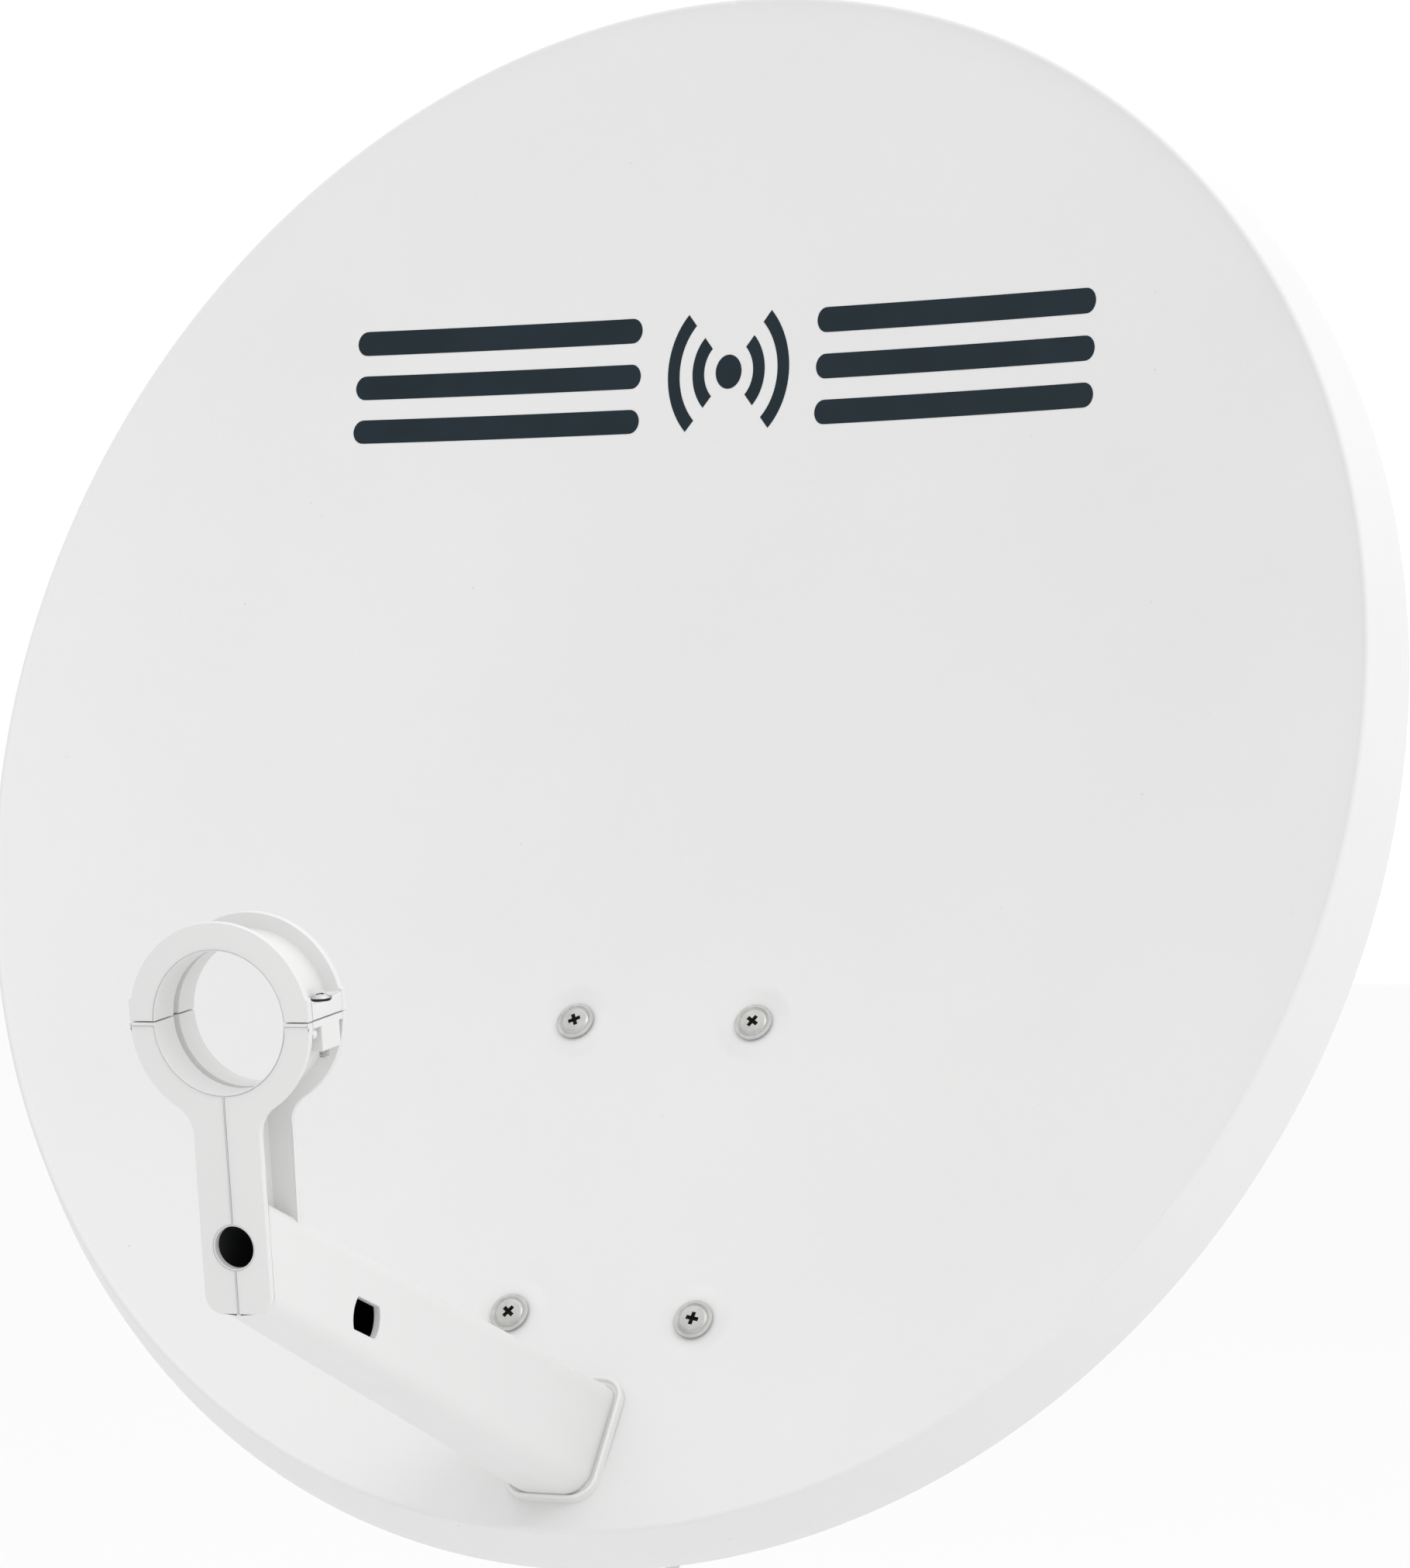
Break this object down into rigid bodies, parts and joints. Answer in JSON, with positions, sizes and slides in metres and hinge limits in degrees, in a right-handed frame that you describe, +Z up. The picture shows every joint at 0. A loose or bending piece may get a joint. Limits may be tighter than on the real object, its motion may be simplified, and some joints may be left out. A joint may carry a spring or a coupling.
{
  "type": "satellite dish",
  "caption": "Offset satellite dish: pressed oval reflector, moulded feed arm with a split clamp for a 40 mm feed, and a tilting bracket that clamps to a round mast.",
  "frame": {"origin": "centre of the mast clamp, on the mast's axis", "axes": "+X to the right seen from the front, the dish faces -Y, +Z up along the mast"},
  "size_m": [0.5188, 0.4574, 0.5535],
  "materials": {
    "reflector_paint": "satin powder coat, light grey, fine grain",
    "painted_bolt": "light grey coated steel",
    "zinc": "bright zinc plate",
    "bracket_steel": "light grey powder coat over pressed steel",
    "arm_plastic": "moulded light grey plastic, satin",
    "collar_plastic": "moulded light grey plastic trim",
    "dark_plastic": "black moulded plastic"
  },
  "bodies": {
    "mast_mount": {"mast_bracket": "bracket_steel", "mast_bolts": "zinc", "pivot_bolt": "zinc", "pivot_washers": "zinc", "pivot_nut": "zinc"},
    "dish": {"reflector": "reflector_paint", "face_bolts": "painted_bolt", "back_washers": "zinc", "back_nuts": "zinc", "dish_bracket": "bracket_steel", "feed_arm": "arm_plastic", "arm_collar": "collar_plastic", "arm_bolts": "zinc", "arm_nuts": "zinc", "arm_plug": "dark_plastic", "pivot_spacer": "dark_plastic", "lock_bolt": "zinc", "lock_washers": "zinc", "lock_nut": "zinc", "lock_spacer": "dark_plastic"},
    "clamp_cap": {"feed_cap": "arm_plastic", "cap_screws": "zinc"},
    "jaw": {"mast_jaw": "bracket_steel", "jaw_washers": "zinc", "jaw_nuts": "zinc"}
  },
  "joints": [
    {"name": "elevation", "type": "hinge", "parent": "mast_mount", "child": "dish", "pos_m": [0, -0.056, -0.012], "axis": [1, 0, 0], "range_deg": [-27, 27]},
    {"name": "cap_lift", "type": "slide", "parent": "dish", "child": "clamp_cap", "axis": [0, -0.1544, 0.988], "range_m": [0, 0.02]},
    {"name": "jaw_slide", "type": "slide", "parent": "mast_mount", "child": "jaw", "axis": [0, 1, 0], "range_m": [-0.012, 0.015]}
  ]
}
